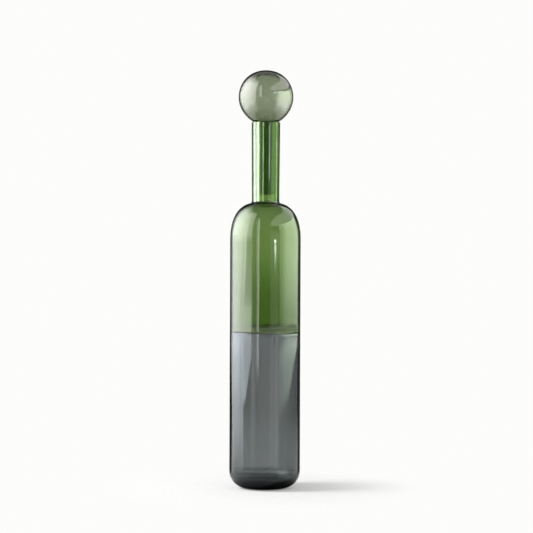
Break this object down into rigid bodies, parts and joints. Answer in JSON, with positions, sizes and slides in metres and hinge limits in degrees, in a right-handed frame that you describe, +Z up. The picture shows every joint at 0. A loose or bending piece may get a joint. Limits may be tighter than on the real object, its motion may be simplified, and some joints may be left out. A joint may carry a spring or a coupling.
{
  "type": "glass bottle with ball stopper",
  "caption": "Tall slim hand-blown glass bottle, smoke grey below and green above, with a round shoulder, a long neck and a hollow ball stopper that lifts out.",
  "frame": {"origin": "middle of the foot ring, on the surface that the bottle stands on", "axes": "+Z up along the bottle's axis; the bottle is a body of revolution, so +X and +Y are alike"},
  "size_m": [0.09, 0.09, 0.5311],
  "materials": {
    "grey_glass": "clear smoke-grey soda glass, fire-polished",
    "green_glass": "clear moss-green soda glass, fire-polished",
    "neck_glass": "clear moss-green soda glass, fire-polished",
    "ball_glass": "clear pale green soda glass, thinly blown",
    "stem_glass": "clear green soda glass, ground at the open end"
  },
  "bodies": {
    "bottle": {"lower_cup": "grey_glass", "upper_bell": "green_glass", "neck_tube": "neck_glass"},
    "stopper": {"stopper_ball": "ball_glass", "stopper_stem": "stem_glass"}
  },
  "joints": [
    {"name": "stopper_lift", "type": "slide", "parent": "bottle", "child": "stopper", "axis": [0, 0, 1], "range_m": [0, 0.1]}
  ]
}
